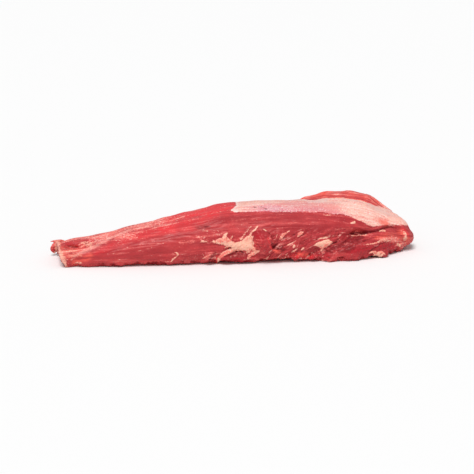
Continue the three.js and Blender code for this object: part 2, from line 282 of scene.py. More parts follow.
# Soft patches of tone, each as wide as its strokes, from the front and from the top.
TONES = {
    "pink": (Group((
        ((-200.2, -4, 2.3), (-181.7, 0, 3), (-165, 0, 4), (-150, 3, 6), (-130, 9, 7), (-112, 13, 5.5)),
        ((-181, -8, 2.5), (-168, -7, 4.5), (-152, -4, 4)),
        ((165, -3, 2.5), (183, -2, 4)),
    ), strength=0.9), Group((
        ((-197.9, -15, 4.6), (-188.7, -17.4, 6.9), (-177.1, -12.7, 4.1), (-167.8, -11, 2.3)),
        ((-199, -27, 3.5), (-193.3, -22.6, 5.2), (-184, -22.6, 3)),
        ((-214, -9, 3.5), (-206, -7, 3.5)),
        ((-140, -1, 3.5), (-128, 1.5, 4), (-118, 1, 3)),
        # A painted highlight: pale pink mottling along the upper ridge.
        ((-82, 17, 2.2), (-72, 20, 3), (-62, 23.5, 2.2)),
        ((186, -4, 3), (192, -9, 4)),
        ((-66, -6, 2.2), (-50, -5.4, 2.2)),
        ((86, -19, 2), (94, -17, 2.6), (101, -18, 2)),
        ((138, 5, 1.8), (148, 3.6, 2.6), (156, 4, 2.4)),
        # A painted highlight: a pale pink patch left of the fat star.
        ((-46, 0, 2.4), (-35, -3, 3), (-31, -8, 2)),
    ), strength=0.65), Group((
        ((-240, -44, 9), (-178, -36, 11), (-150, -30, 12), (-118, -20, 11), (-60, -8, 9)),
    ), Side.TOP, fade=72), Group((
        ((-150, 3, 6), (-112, 13, 6), (-60, 22, 6)),
    ), fade=34)),
    "blush": (Group((
        ((30, 36, 4), (70, 36, 6), (140, 30, 6)),
    ), strength=0.8, soft=1.5, fade=30),),
    "calm": (Group((
        ((-176, -26, 5), (-150, -22, 8), (-115, -16, 12), (-80, -10, 13), (-52, -4, 9)),
    )),),
    "bright": (Group((
        ((-88, 12, 6), (-78, 15, 8.8), (-58, 21, 9), (-35, 28, 8.5), (-8, 34, 6.5)),
        ((-170, -4, 2.5), (-150, 0, 3)),
        ((66, -21.5, 2.2), (72, -22, 3.2), (79, -21.8, 3.2), (86, -22.5, 2.2)),
        ((36, -1.6, 1.4), (38.4, -8, 2), (39.5, -13, 1.4)),
        ((192, 8, 2.2), (196, 3, 2.6)),
        ((-23.4, -23, 1.4), (-23.2, -30, 1.8)),
    )), Group((
        ((-164, -19, 2), (-147, -12, 4), (-125, -2, 6), (-108, 5, 7.2), (-84, 13, 8)),
    ), strength=0.62), Group((
        ((-98, -28, 5), (-70, -18, 10), (-40, -6, 12), (-8, 4, 7)),
    ), Side.TOP)),
    "crimson": (Group((
        ((-197, -6.6, 2.2), (-188, -8.6, 3), (-180, -10, 2.2)),
        ((23, 5, 3), (26, -2, 5), (29, -10, 4.4), (34, -15, 2.4)),
        ((-28, -27, 4), (-10, -24, 4.5), (8, -24, 4)),
        ((60, -22, 3), (80, -23, 4), (104, -22, 3)),
        ((128, -18, 3), (142, -14, 4), (156, -10, 4), (166, -10, 3)),
        ((172, -10, 3), (180, -11, 5), (187, -13, 3)),
    )),),
    "cream": (Group((
        ((-207.4, -6, 2.4), (-207.4, -15, 3.6), (-204.6, -21.8, 3.8), (-201.6, -27.7, 4),
         (-199.2, -32.5, 3)),
        ((193.5, 5, 1.5), (195, 0.6, 3), (194, -3.5, 1.5)),
        ((186, -7.5, 0.8), (188, -10, 1.2)),
        ((-180, -6.5, 1.5), (-170, -8.5, 3)),
        ((165, 7, 1.2), (171, 6.6, 1)),
    )), Group((
        ((-198, -15, 3.6), (-190, -20, 6.4), (-182, -21, 3.6)),
    ), strength=0.62)),
    "warm": (Group((
        ((158, 18, 3), (164, 17.4, 4.2), (171.5, 16.6, 4.2)),
        ((43, -15.4, 2), (48, -17.4, 2.2)),
        ((72, -20.4, 2), (82, -20.8, 2.4)),
        ((189, 5, 3), (196, -2, 4)),
        ((-187.5, -28.9, 3.5), (-170.1, -22, 3.5)),
        ((-192, -23, 2.5), (-182, -20, 3)),
    )), Group((
        ((-202, -14, 4), (-192, -19, 7), (-178, -14, 4)),
        ((162, -1, 3), (176, 0, 4.6), (190, -2, 4.6)),
    ), strength=0.8)),
    "lilac": (Group((
        ((-6, 31, 2.5), (45, 32, 3.8), (76, 31, 3.8), (98, 29.5, 3.4), (140, 21, 2.2)),
    ), strength=0.9, soft=1.5, fade=40),),
    "wing": (Group((
        ((30, 40, 6), (60, 46, 12), (100, 52, 20), (150, 54, 22), (190, 44, 14)),
    ), Side.TOP),),
    # crease_shade is painted shade: darker red in the valley below the cleft, along the cracks, and faintly
    # in a band across the front below the silverskin.
    "crease_shade": (Group((
        ((110, -13, 3), (123, -8, 6), (134, -4, 5.4), (144, 0, 2.6)),
        ((54, -14, 2), (41, -9, 2.4)),
        ((118, -17.6, 2), (128, -15, 3), (136, -12, 2)),
        ((134, 4, 1.4), (150, 5.4, 2), (161.7, 6.8, 2), (170.6, 11, 1.8), (179, 13, 1.2)),
        ((-47, 11, 1.4), (-40, 10.6, 2.6), (-32, 11.6, 1.4)),
        ((-31, -27, 1.8), (-28, -22, 2), (-25, -18.6, 1.4)),
        ((-16, -21.4, 1.6), (-6, -19, 2.6), (4, -19, 2.8), (10, -20.4, 1.8)),
    )), Group((
        ((0, 18, 3), (20, 13, 7), (50, 12, 8), (80, 12, 6), (104, 13, 4)),
    ), strength=0.3)),
    "deep": (Group((
        ((-60.2, -23.1, 4), (-42.8, -20.8, 5)),
        ((-17.4, -24.3, 4.6), (9.3, -24.3, 4.6)),
        ((44, -15, 5), (72.9, -15, 5), (107.6, -15, 4), (130.8, -6.9, 6.9)),
        ((-120, -9, 4), (-105, -9.5, 6), (-90, -12, 5)),
        ((-68, 6, 3), (-52, 7.6, 3.4)),
        ((-68, 12, 2.6), (-50, 14, 2.6)),
        ((-168, -19, 2.4), (-150, -15, 4), (-136, -14, 4)),
        ((-28, 9, 3), (-20, 8, 4), (-12, 7, 3)),
        ((0, 14, 4), (20, 13, 7), (50, 13, 8), (78, 13, 7), (96, 14, 6), (116, 15, 4)),
        ((-98, -8, 3.5), (-74, 0, 3.5), (-37, 15, 3), (-6, 22, 2.6), (6, 23, 1.8)),
        ((124, 0, 4), (142, 7, 4.5), (160, 10, 3)),
        ((118, -5, 6), (130, -10, 11), (146, -15, 9), (162, -14, 5)),
        ((166, -12, 5), (178, -13, 8), (186, -15, 5)),
        ((120, 20, 2.6), (135, 14, 3.6), (148, 9, 3.2)),
        ((172, 13, 3), (184, 10.4, 3.6), (190, 8, 2)),
    )), Group((
        ((56, 19, 5), (95, 19, 6), (122, 12, 6)),
    ), strength=0.8)),
}


def eased(low: float, high: float, values: Array) -> Array:
    """Returns values eased from 0 at low to 1 at high."""
    share = np.clip((values - low) / (high - low), 0, 1)
    return share * share * (3 - 2 * share)


def beside(line: Array, widths: Array, points: Array) -> Iterator[tuple[Array, Array]]:
    """Measures how points lie beside each step of a line.

    Args:
        line: the line's places, one a row.
        widths: its half width at each.
        points: the points, one a row.

    Yields:
        The offset of each point from the nearest place of the step, and the line's half width there.
    """
    shortest = 1e-12
    for (start, end), (first, last) in zip(itertools.pairwise(line), itertools.pairwise(widths)):
        step = end - start
        offset = points - start
        share = np.clip(offset @ step / max(step @ step, shortest), 0, 1)
        yield offset - share[:, None] * step, first + share * (last - first)


class Noise:
    """Smooth seeded noise in space, from about -1 to 1."""

    CELLS = 256
    GAIN = 1.6

    def __init__(self, seed: int) -> None:
        """Draws the slopes at the lattice's corners.

        Args:
            seed: what the draw starts from.
        """
        draw = np.random.default_rng(seed)
        self.order = np.tile(draw.permutation(self.CELLS), 3)
        slopes = draw.normal(size=(self.CELLS, 3))
        self.slopes = slopes / np.linalg.norm(slopes, axis=1, keepdims=True)

    def at(self, points: Array, *cell: float, shift: float = 0.0) -> Array:
        """Reads the noise.

        Args:
            points: places in metres, one a row.
            cell: how long its cells are in millimetres, one number or one for each axis.
            shift: how many cells further on it is read.

        Returns:
            The noise at each place.
        """
        places = points / np.array(cell) / MM + shift
        lattice = np.floor(places).astype(int)
        local = places - lattice
        ease = local**3 * (local * (local * 6 - 15) + 10)
        total = np.zeros(len(points))
        for corner in itertools.product((0, 1), repeat=3):
            index = (lattice + corner) % self.CELLS
            mixed = self.order[index[:, 0]] + index[:, 1]
            mixed = self.order[self.order[mixed] + index[:, 2]]
            reach = local - corner
            weight = np.where(corner, ease, 1 - ease).prod(axis=1)
            total += weight * (self.slopes[mixed] * reach).sum(axis=1)
        return total * self.GAIN

    def ridges(self, points: Array, *cell: float) -> Array:
        """Returns noise with sharp valleys, from -1 in a valley to 1."""
        return np.minimum(np.abs(self.at(points, *cell)) * 3, 1) * 2 - 1


class Bench:
    """Blender's operators, used on one object at a time."""

    @staticmethod
    def put(name: str, mesh: bpy.types.Mesh) -> Piece:
        """Puts a mesh in the scene as a new object."""
        piece = bpy.data.objects.new(name, mesh)
        bpy.context.collection.objects.link(piece)
        return piece

    @staticmethod
    def take(piece: Piece) -> None:
        """Selects one piece alone and makes it active."""
        bpy.ops.object.select_all(action="DESELECT")
        piece.select_set(True)
        bpy.context.view_layer.objects.active = piece

    @classmethod
    def apply(cls, piece: Piece, kind: str, **settings: object) -> None:
        """Adds a modifier to a piece and applies it.

        Args:
            piece: the object.
            kind: the modifier's type.
            settings: the modifier's own settings.
        """
        cls.take(piece)
        modifier = piece.modifiers.new(kind.title(), kind)
        for name, value in settings.items():
            setattr(modifier, name, value)
        bpy.ops.object.modifier_apply(modifier=modifier.name)

    @classmethod
    def remesh(cls, piece: Piece, voxel: float, rounds: int) -> None:
        """Makes a piece anew from voxels of a size, and smooths it for some rounds."""
        cls.apply(piece, "REMESH", mode="VOXEL", voxel_size=voxel)
        cls.apply(piece, "SMOOTH", factor=0.5, iterations=rounds)

    @classmethod
    def merge(cls, piece: Piece) -> None:
        """Joins the vertices of a piece that lie in one place."""
        cls.take(piece)
        bpy.ops.object.mode_set(mode="EDIT")
        bpy.ops.mesh.select_all(action="SELECT")
        bpy.ops.mesh.remove_doubles(threshold=MM / 100)
        bpy.ops.object.mode_set(mode="OBJECT")

    @classmethod
    def join(cls, piece: Piece, others: list[Piece]) -> None:
        """Makes other objects part of a piece's mesh."""
        cls.take(piece)
        for other in others:
            other.select_set(True)
        bpy.ops.object.join()


@dataclass(frozen=True)
class Strip:
    """A stroke laid on the meat: its middle line, the skin's normals there and its half widths, in metres.

    It is measured up to MARGIN beside itself, and a distance off the skin counts less there, by SQUASH.
    """

    centres: Array
    normals: Array
    radii: Array

    MARGIN = 12 * MM
    SQUASH = 0.8
    SIDES = 10
    TIP = 0.6

    def inside(self, points: Array) -> Array:
        """Measures how far points lie inside the strip.

        Args:
            points: places in metres, one a row.

        Returns:
            How many metres inside the strip's edge each point lies, and below 0 outside it.
        """
        found = np.full(len(points), FAR_OUTSIDE)
        margin = self.MARGIN + self.radii.max()
        low = self.centres.min(axis=0) - margin
        high = self.centres.max(axis=0) + margin
        near = ((points > low) & (points < high)).all(axis=1)
        steps = beside(self.centres, self.radii, points[near])
        for normal, (offset, radius) in zip(self.normals, steps):
            off = offset @ normal
            flat = np.sqrt(np.maximum((offset**2).sum(axis=1) - self.SQUASH * off**2, 0))
            found[near] = np.maximum(found[near], radius - flat)
        return found

    def body(self, rise: float, thickness: float) -> Piece:
        """Models the strip as a tapering tube, flattened on the meat.

        Args:
            rise: how far its middle line stands above the meat, in its own half widths.
            thickness: its half thickness, in its own half widths.

        Returns:
            The new object.
        """
        turns = np.arange(self.SIDES) / self.SIDES * 2 * math.pi
        ahead = np.gradient(self.centres, axis=0)
        ahead /= np.linalg.norm(ahead, axis=1, keepdims=True)
        across = np.cross(self.normals, ahead)
        across /= np.linalg.norm(across, axis=1, keepdims=True)
        upward = np.cross(ahead, across)
        middle = self.centres + upward * (self.radii * rise)[:, None]
        wide = np.cos(turns)[:, None] * across[:, None]
        high = np.sin(turns)[:, None] * upward[:, None] * thickness
        rings = middle[:, None] + self.radii[:, None, None] * (wide + high)
        ends = [0, -1]
        tips = middle[ends] + self.radii[ends, None] * self.TIP * ahead[ends] * np.array([[-1], [1]])
        sides = self.SIDES
        last, tip = (len(rings) - 1) * sides, len(rings) * sides
        faces: list[tuple[int, ...]] = []
        for side in range(sides):
            after = (side + 1) % sides
            for ring in range(0, last, sides):
                faces.append((ring + side, ring + after, ring + after + sides, ring + side + sides))
            faces += [(tip, after, side), (tip + 1, last + side, last + after)]
        mesh = bpy.data.meshes.new("strand")
        mesh.from_pydata(np.vstack((rings.reshape(-1, 3), tips)).tolist(), [], faces)
        return Bench.put("strand", mesh)


class Skin:
    """The meat's surface, on which strokes are laid from a view.

    A laid stroke has a place every SPACING millimetres, and a half width of LEAST or more.
    """

    SPACING = 1.4
    LEAST = 0.25

    def __init__(self, piece: Piece) -> None:
        """Reads the surface of a piece."""
        self.tree = BVHTree.FromObject(piece, bpy.context.evaluated_depsgraph_get())

    def route(self, places: Places) -> Array:
        """Rounds a stroke's few places into a smooth route.

        Args:
            places: the stroke's places and half widths, in millimetres.

        Returns:
            The route's places and half widths, one a row.
        """
        knots = np.array(places, float)
        knots = np.vstack((2 * knots[0] - knots[1], knots, 2 * knots[-1] - knots[-2]))
        rows = []
        for one in range(1, len(knots) - 2):
            before, start, end, after = knots[one - 1:one + 3]
            steps = max(2, round(np.linalg.norm((end - start)[:2]) / self.SPACING))
            for share in np.arange(steps) / steps:
                rows.append(0.5 * (
                    2 * start + (end - before) * share
                    + (2 * before - 5 * start + 4 * end - after) * share**2
                    + (3 * start - before - 3 * end + after) * share**3))
        rows.append(knots[-2])
        return np.array(rows)

    def lay(self, group: Group) -> list[Strip]:
        """Lays a group's strokes on the surface.

        Args:
            group: the strokes and the side that they are seen from.

        Returns:
            One strip a stroke.
        """
        view = group.side.value
        eye = Vector(view.eye())
        strips = []
        for places in group.strokes:
            route = self.route(places)
            centres, normals = [], []
            for across, above, _ in route:
                way = view.toward(across, above)
                hit, normal, _, _ = self.tree.ray_cast(eye, way)
                if hit is None:
                    reach = (self.tree.find_nearest(eye + way * view.distance)[0] - eye).dot(way)
                    hit, normal = eye + way * reach, -way
                centres.append(hit)
                normals.append(normal)
            radii = np.maximum(route[:, 2], self.LEAST) * MM
            strips.append(Strip(np.array(centres), np.array(normals), radii))
        return strips


def inside_any(strips: list[Strip], points: Array) -> Array:
    """Returns how far points lie inside the nearest of some strips, in millimetres."""
    return np.max([strip.inside(points) for strip in strips], axis=0) / MM


def tone_of(group: Group, points: Array, normals: Array, uneven: Array) -> Array:
    """Paints soft patches along a group's strokes, as if through the view's picture.

    Args:
        group: the strokes and the side that they are seen from.
        points: places in metres, one a row.
        normals: which way the surface looks at each.
        uneven: how far a patch's edge strays at each, in the stroke's own half widths.

    Returns:
        1 along the strokes, and 0 well outside them and on the far side.
    """
    full_inside = 0.7
    turned_away, in_sight = -0.15, 0.1
    view = group.side.value
    seen = view.seen(points)
    painted = np.zeros(len(points))
    for stroke in group.strokes:
        best = np.full(len(points), FAR_OUTSIDE)
        places, widths = np.split(np.array(stroke, float), [2], axis=1)
        for offset, width in beside(places, widths[:, 0], seen):
            best = np.maximum(best, 1 - np.linalg.norm(offset, axis=1) / width)
        share = eased(-group.soft, full_inside, best + uneven)
        if group.fade:
            share *= eased(0, group.fade, seen[:, 0] - places[0, 0])
            share *= eased(0, group.fade, places[-1, 0] - seen[:, 0])
        painted = np.maximum(painted, share)
    sight = eased(turned_away, in_sight, normals @ view.axes()[2])
    return painted * group.strength * sight


class MeshData:
    """A mesh's places and normals as arrays, and values that are smoothed along its edges."""

    def __init__(self, piece: Piece) -> None:
        """Reads a piece's mesh."""
        self.mesh = piece.data
        count = len(self.mesh.vertices)
        self.points = self.read("vertices", "co", count)
        self.normals = self.read("vertices", "normal", count)
        edges = np.empty(len(self.mesh.edges) * 2, np.int32)
        self.mesh.edges.foreach_get("vertices", edges)
        self.ends = edges.reshape(-1, 2)
        self.degree = np.maximum(np.bincount(edges, minlength=count), 1)

    def read(self, store: str, name: str, count: int) -> Array:
        """Returns one vector a row of what the mesh stores."""
        flat = np.empty(count * 3, np.float32)
        getattr(self.mesh, store).foreach_get(name, flat)
        return flat.reshape(-1, 3).astype(float)

    def relaxed(self, values: Array, rounds: int) -> Array:
        """Averages each vertex's value with its neighbours'.

        Args:
            values: a number or a row for each vertex.
            rounds: how many times.

        Returns:
            The smoothed values.
        """
        first, second = self.ends[:, 0], self.ends[:, 1]
        columns = np.array(values, float).reshape(len(values), -1)
        for _ in range(rounds):
            for column in range(columns.shape[1]):
                old = columns[:, column]
                total = np.bincount(first, old[second], len(old))
                total += np.bincount(second, old[first], len(old))
                columns[:, column] = 0.5 * old + 0.5 * total / self.degree
        return columns.reshape(np.shape(values))

    def write(self) -> None:
        """Puts the places back in the mesh, none of them below the table."""
        self.points[:, 2] = np.maximum(self.points[:, 2], 0)
        self.mesh.vertices.foreach_set("co", self.points.astype(np.float32).ravel())
        self.mesh.update()
        self.normals = self.read("vertices", "normal", len(self.points))

    def paint(self, name: str, values: Array) -> None:
        """Stores a number or a vector for each vertex as an attribute."""
        kind, key = ("FLOAT", "value") if values.ndim == 1 else ("FLOAT_VECTOR", "vector")
        layer = self.mesh.attributes.new(name, kind, "POINT")
        layer.data.foreach_set(key, values.astype(np.float32).ravel())


class Relief:
    """The relief of the meat, in millimetres, and what its finish reads, a value or row for each vertex."""

    GIRTH = 34 * MM
    CLEFT_DEPTH = 2.6
    CRACK_DEPTH = 1.7
    GAP_DEPTH = 5.5
    EDGE_ROUNDS = 20
    HOLLOW_ROUNDS = 14

    def __init__(self, piece: Piece, laid: dict[str, list[Strip]], seed: int) -> None:
        """Measures the meat before it is carved.

        Args:
            piece: the meat.
            laid: the strips on it, by kind.
            seed: what its noise is drawn from.
        """
        self.data = MeshData(piece)
        self.noise = Noise(seed)
        self.points = self.data.points.copy()
        self.across, self.above = Side.FRONT.value.seen(self.points).T
        self.back = self.points[:, 1] / MM
        self.height = self.points[:, 2] / MM
        normals = self.data.normals
        grain = self.muscle_grain()
        self.slips = self.slip_grain()
        uneven = 0.5 * self.noise.at(grain, 34, 8, 8) + 0.35 * self.noise.at(self.points, 7)
        self.tones = {
            name: np.max([tone_of(group, self.points, normals, uneven) for group in groups], axis=0)
            for name, groups in TONES.items()}
        cut = eased(0.8, 0.95, -normals[:, 0]) * eased(-185, -198, self.across)
        self.grain = grain + (self.points - grain) * cut[:, None]
        self.tones["cream"] *= 1 - cut

        star, streaks, sinew, self.cleft, self.crack = (
            inside_any(strips, self.points) for strips in (
                laid["star"] + laid["seam"], laid["streaks"], laid["sinew"], laid["clefts"],
                laid["cracks"]))
        # The fat mask also carries the painted glints among the fat streaks.
        self.fat = np.maximum(star, 1.7 * streaks)
        self.sinew = eased(-2.5, 1.2, sinew) * (1 - cut)
        self.silver = self.silverskin()
        self.fan, self.torn = self.torn_front()

    def muscle_grain(self) -> Array:
        """Follows the muscle's fibres, which run from the tail to the butt and converge at the tail.

        Returns:
            Metres along the fibres, and two measures across them, one a row.
        """
        along, back, height = self.points.T
        stations = (-0.2, -0.08, 0.06, 0.2)
        wing = eased(0.014, 0.044, back) * eased(-0.04, 0.06, along)
        middle_y = np.interp(along, stations, (-0.052, -0.03, -0.008, 0.004)) + 0.046 * wing
        middle_z = np.interp(along, stations, (0.006, 0.012, 0.02, 0.012))
        around = np.arctan2(height - middle_z, middle_y - back)
        return np.stack((along, np.cos(around) * self.GIRTH, np.sin(around) * self.GIRTH), axis=1)

    def slip_grain(self) -> Array:
        """Follows the slips of the torn front, which fan up to the right.

        Returns:
            Metres along the slips, across them and into the meat, one a row.
        """
        slope = np.radians(np.interp(self.across, (30, 60, 120, 190), (46, 36, 28, 14)))
        along = self.across * np.cos(slope) + self.above * np.sin(slope)
        beside = self.above * np.cos(slope) - self.across * np.sin(slope)
        return np.stack((along * MM, beside * MM, self.points[:, 1] * 0.4), axis=1)

    def silverskin(self) -> Array:
        """Measures the silverskin over the top of the butt, whose far edges are frayed.

        Returns:
            About how many millimetres inside its edge each place lies, and below 0 outside it.
        """
        behind = eased(0, 10, self.back)
        frayed = 2 * self.noise.at(self.points, 11) + 1.6 * self.noise.at(self.grain, 24, 3, 3)
        frayed *= behind
        foot = np.interp(
            self.across, (-3, 5, 45, 95, 104, 111, 122, 132, 141, 151, 156, 163, 173, 185),
            (28.4, 29.1, 28.6, 29.3, 27.6, 26.4, 25.7, 23.1, 18.8, 13.9, 11.9, 12.5, 14.3, 13.3))
        torn = np.interp(self.above, (28.4, 31, 36.8, 40.5), (-3, -7.4, -0.7, -2.2))
        torn += np.interp(self.back, (0, 30), (0, 22))
        seam = np.interp(
            self.points[:, 0] / MM, (-10, 15, 50, 90, 136, 154, 168, 179, 189, 200),
            (9, 16, 24, 22, 19, 20, 25, 35, 50, 60))
        butt_end = 201
        edges = (
            self.above - foot, self.across - torn + 2.5 * frayed, seam - self.back + frayed,
            butt_end - self.across)
        return np.min(edges, axis=0) * (1 - 0.5 * behind)

    def torn_front(self) -> tuple[Array, Array]:
        """Marks the torn flesh of the front.

        Returns:
            How far each place is in the fan of slips, and in torn flesh of any kind, from 0 to 1.
        """
        front = eased(0.1, 0.4, -self.data.normals[:, 1])
        fan = front * eased(26, 42, self.across)
        fan *= eased(12, 2, self.above - 0.06 * (self.across - 60))
        fan *= eased(6, -6, self.across - 112 - 0.45 * (self.above + 25))
        torn = front * eased(-36, -24, self.across) * eased(8, -4, self.above)
        return fan, np.maximum(fan, torn)

    def wrinkles(self) -> Array:
        """Raises the fibres, slips, fat and silverskin, with heights and cells in millimetres.

        Returns:
            How far each place is raised, in millimetres.
        """
        at, ridges = self.noise.at, self.noise.ridges
        points, grain, slips, fan = self.points, self.grain, self.slips, self.fan
        over_silver = eased(-0.4, 0.6, self.silver)
        over_fat = eased(-0.5, 0.8, self.fat)
        bare = (1 - 0.9 * over_silver) * (1 - 0.55 * over_fat)
        lift = 0.7 * at(points, 17) + 0.4 * over_silver
        lift += over_fat * (0.45 + 0.5 * at(points, 2.6))
        lift += bare * (0.5 * at(grain, 52, 6.5, 6.5) + 0.3 * (1 - fan) * ridges(grain, 30, 2.9, 2.9))
        lift += bare * fan * (0.55 * ridges(slips, 30, 4.6, 12) + 0.3 * ridges(slips, 16, 2.3, 6))
        lift += bare * self.tones["wing"] * 0.8 * ridges(grain, 40, 5, 5)
        lift += 0.4 * self.torn * (1 - over_silver) * ridges(points, 4.6)
        return lift + 0.5 * self.sinew * at(grain, 18, 2.2, 2.2)

    def carve(self) -> None:
        """Raises the wrinkles, cuts the clefts and cracks, and makes the foot wind above the table."""
        data, height = self.data, self.height
        ragged = np.clip(0.75 + 0.8 * self.noise.at(self.points, 3.4), 0.1, 1.4)
        lift = self.wrinkles()
        lift -= self.CLEFT_DEPTH * np.clip((self.cleft + 0.8) / 2.2, 0, 1) ** 1.4 * ragged
        lift -= self.CRACK_DEPTH * np.clip((self.crack + 0.7) / 2.2, 0, 1) * ragged

        rough = 0.6 + 0.4 * eased(-60, -30, self.across)
        winding = self.noise.at(self.points, 9, 9, 60)
        foot = 2 * winding * eased(11, 2, height)
        foot -= 2.6 * (1 + winding) * eased(3 + 1.6 * winding, 0.2, height)
        lift += foot * rough * eased(0.85, 0.5, np.abs(data.normals[:, 2]))
        lift *= eased(0, 1.2, height)
        under = eased(-0.7, -0.95, data.normals[:, 2])
        edge = eased(0.02, 0.3, 1 - data.relaxed(under, self.EDGE_ROUNDS)) * eased(7, 2, height)
        gaps = eased(0, 0.4, self.noise.at(self.points, 9, 9, 90, shift=7.3))
        lift -= self.GAP_DEPTH * rough * edge * gaps * np.minimum(ragged, 1)

        data.points += data.normals * (lift * MM)[:, None]
        data.write()

    def paint(self) -> None:
        """Stores on the mesh what the finish reads."""
        data = self.data
        # hollow and cleft are masks for painted shade: the finish darkens the meat's hollows, clefts and
        # cracks.
        bulge = data.points - data.relaxed(data.points, self.HOLLOW_ROUNDS)
        hollow = -(bulge * data.normals).sum(axis=1) / MM
        # A painted highlight: a white line along the silverskin's skyline, where it turns away from the
        # front view. The band just inside its torn left edge is whitened as the skin's own paler colour.
        skyline_highlight = eased(0.3, 0.16, np.abs(data.normals @ Side.FRONT.value.axes()[2]))
        skyline_highlight *= eased(60, 90, self.across) * eased(30, 20, self.back)
        torn_edge = eased(4, 0, self.across) * eased(4, 1, self.silver)
        ridge = eased(64, 80, self.across) * eased(134, 112, self.across)
        painted = {
            "grain": self.grain, "fan_grain": self.slips, "fat": self.fat, "silver": self.silver,
            "rim_highlight_and_edge": np.maximum((0.2 + 0.3 * ridge) * skyline_highlight, torn_edge),
            "sinew": self.sinew, "fan": self.fan, "hollow": np.clip(hollow, -1.5, 2.5),
            "cleft": eased(-0.8, 1.2, np.maximum(self.cleft, self.crack - 0.4))}
        for name, values in {**painted, **self.tones}.items():
            data.paint(name, values)


@dataclass
class Tenderloin:
    """The meat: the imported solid's form with its torn slips, fat, silverskin and fibres."""

    core_voxel: float = 2.0 * MM
    core_rounds: int = 7
    skin_voxel: float = 0.95 * MM
    skin_rounds: int = 2
    most_triangles: int = 196_000
    seed: int = 11

    def build(self) -> Piece:
        """Models the meat and paints what its finish reads.

        Returns:
            The finished piece.
        """
        piece = self.core()
        skin = Skin(piece)
        laid = {name: skin.lay(group) for name, group in {
            "star": FAT_STAR, "streaks": FAT_STREAKS_AND_GLINTS, "seam": SEAM_FAT, "sinew": SINEW, "clefts": CLEFTS,
            "cracks": CRACKS, "lumps": LUMPS, "knuckle": KNUCKLE, "shreds": SHREDS}.items()}
        self.fuse(piece, laid)
        relief = Relief(piece, laid, self.seed)
        relief.carve()
        relief.paint()
        self.thin_out(piece)
        Bench.take(piece)
        bpy.ops.object.shade_smooth()
        return piece

    def core(self) -> Piece:
        """Copies the solid, rounds off its facets, trims the tail's end and settles the outline.

        Returns:
            The copy.
        """
        piece = Bench.put("tenderloin_meat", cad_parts[NODE].data.copy())
        piece.data.materials.clear()
        Bench.merge(piece)
        Bench.remesh(piece, self.core_voxel, self.core_rounds)
        data = MeshData(piece)
        view = Side.FRONT.value
        seen = view.seen(data.points)
        data.points[:, 0] += np.maximum(np.interp(seen[:, 1], *TAIL_END) - seen[:, 0], 0) * MM
        right, up, _ = view.axes()
        for push in PUSHES:
            near = eased(push.reach, 0, np.linalg.norm(seen - push.place, axis=1))
            data.points += near[:, None] * (right * push.way[0] + up * push.way[1]) * MM
        data.write()
        return piece

    def fuse(self, piece: Piece, laid: dict[str, list[Strip]]) -> None:
        """Grows the cushions of fat, the lumps and the shreds out of the meat.

        Args:
            piece: the meat, which is changed.
            laid: the strips on it, by kind.
        """
        thick = [strip for strip in laid["streaks"] + laid["seam"] if strip.radii.max() > self.skin_voxel]
        rise_and_thickness = (
            (laid["star"], -0.15, 0.38), (thick, -0.1, 0.6), (laid["sinew"], -0.3, 0.35),
            (laid["lumps"], 0, 0.85), (laid["knuckle"], -0.5, 0.95), (laid["shreds"], 0, 0.8))
        grown = [
            strip.body(rise, thickness) for strips, rise, thickness in rise_and_thickness
            for strip in strips]
        Bench.join(piece, grown)
        Bench.remesh(piece, self.skin_voxel, self.skin_rounds)

    def thin_out(self, piece: Piece) -> None:
        """Takes out triangles where the meat is flat, mostly under it, to keep at most most_triangles."""
        count = sum(len(face.vertices) - 2 for face in piece.data.polygons)
        if count > self.most_triangles:
            Bench.apply(piece, "DECIMATE", ratio=self.most_triangles / count)
        LOG.info("meat: %d triangles from %d", len(piece.data.polygons), count)


class Socket:
    """A shader socket; arithmetic on it adds the node that does the sum."""

    def __init__(self, sheet: "Sheet", socket: bpy.types.NodeSocket) -> None:
        """Wraps a node's output on a sheet."""
        self.sheet = sheet
        self.socket = socket

    def sum(self, operation: str, first: object, second: object) -> "Socket":
        """Works out a sum of two values or sockets, with Vector Math where this one is a vector.

        Args:
            operation: the node's operation.
            first: its first value or socket.
            second: its second value or socket.

        Returns:
            The result.
        """
        vector = self.socket.type == "VECTOR"
        kind = "ShaderNodeVectorMath" if vector else "ShaderNodeMath"
        return self.sheet.node(kind, {"operation": operation}, {0: first, 1: second})

    def __add__(self, other: object) -> "Socket":
        """Adds."""
        return self.sum("ADD", self, other)

    __radd__ = __add__

    def __mul__(self, other: object) -> "Socket":
        """Multiplies."""
        return self.sum("MULTIPLY", self, other)

    __rmul__ = __mul__

    def __sub__(self, other: object) -> "Socket":
        """Subtracts."""
        return self.sum("SUBTRACT", self, other)

    def __rsub__(self, other: object) -> "Socket":
        """Subtracts from a value."""
        return self.sum("SUBTRACT", other, self)

    def most(self, other: object) -> "Socket":
        """Returns the larger of two."""
        return self.sum("MAXIMUM", self, other)

    def size(self) -> "Socket":
        """Returns the number without its sign."""
        return self.sum("ABSOLUTE", self, 0)

    def ease(self, low: float, high: float) -> "Socket":
        """Returns the number eased from 0 at low to 1 at high, where low may be the larger."""
        settings = {"interpolation_type": "SMOOTHSTEP"}
        inputs = {"Value": self, "From Min": low, "From Max": high}
        return self.sheet.node("ShaderNodeMapRange", settings, inputs)


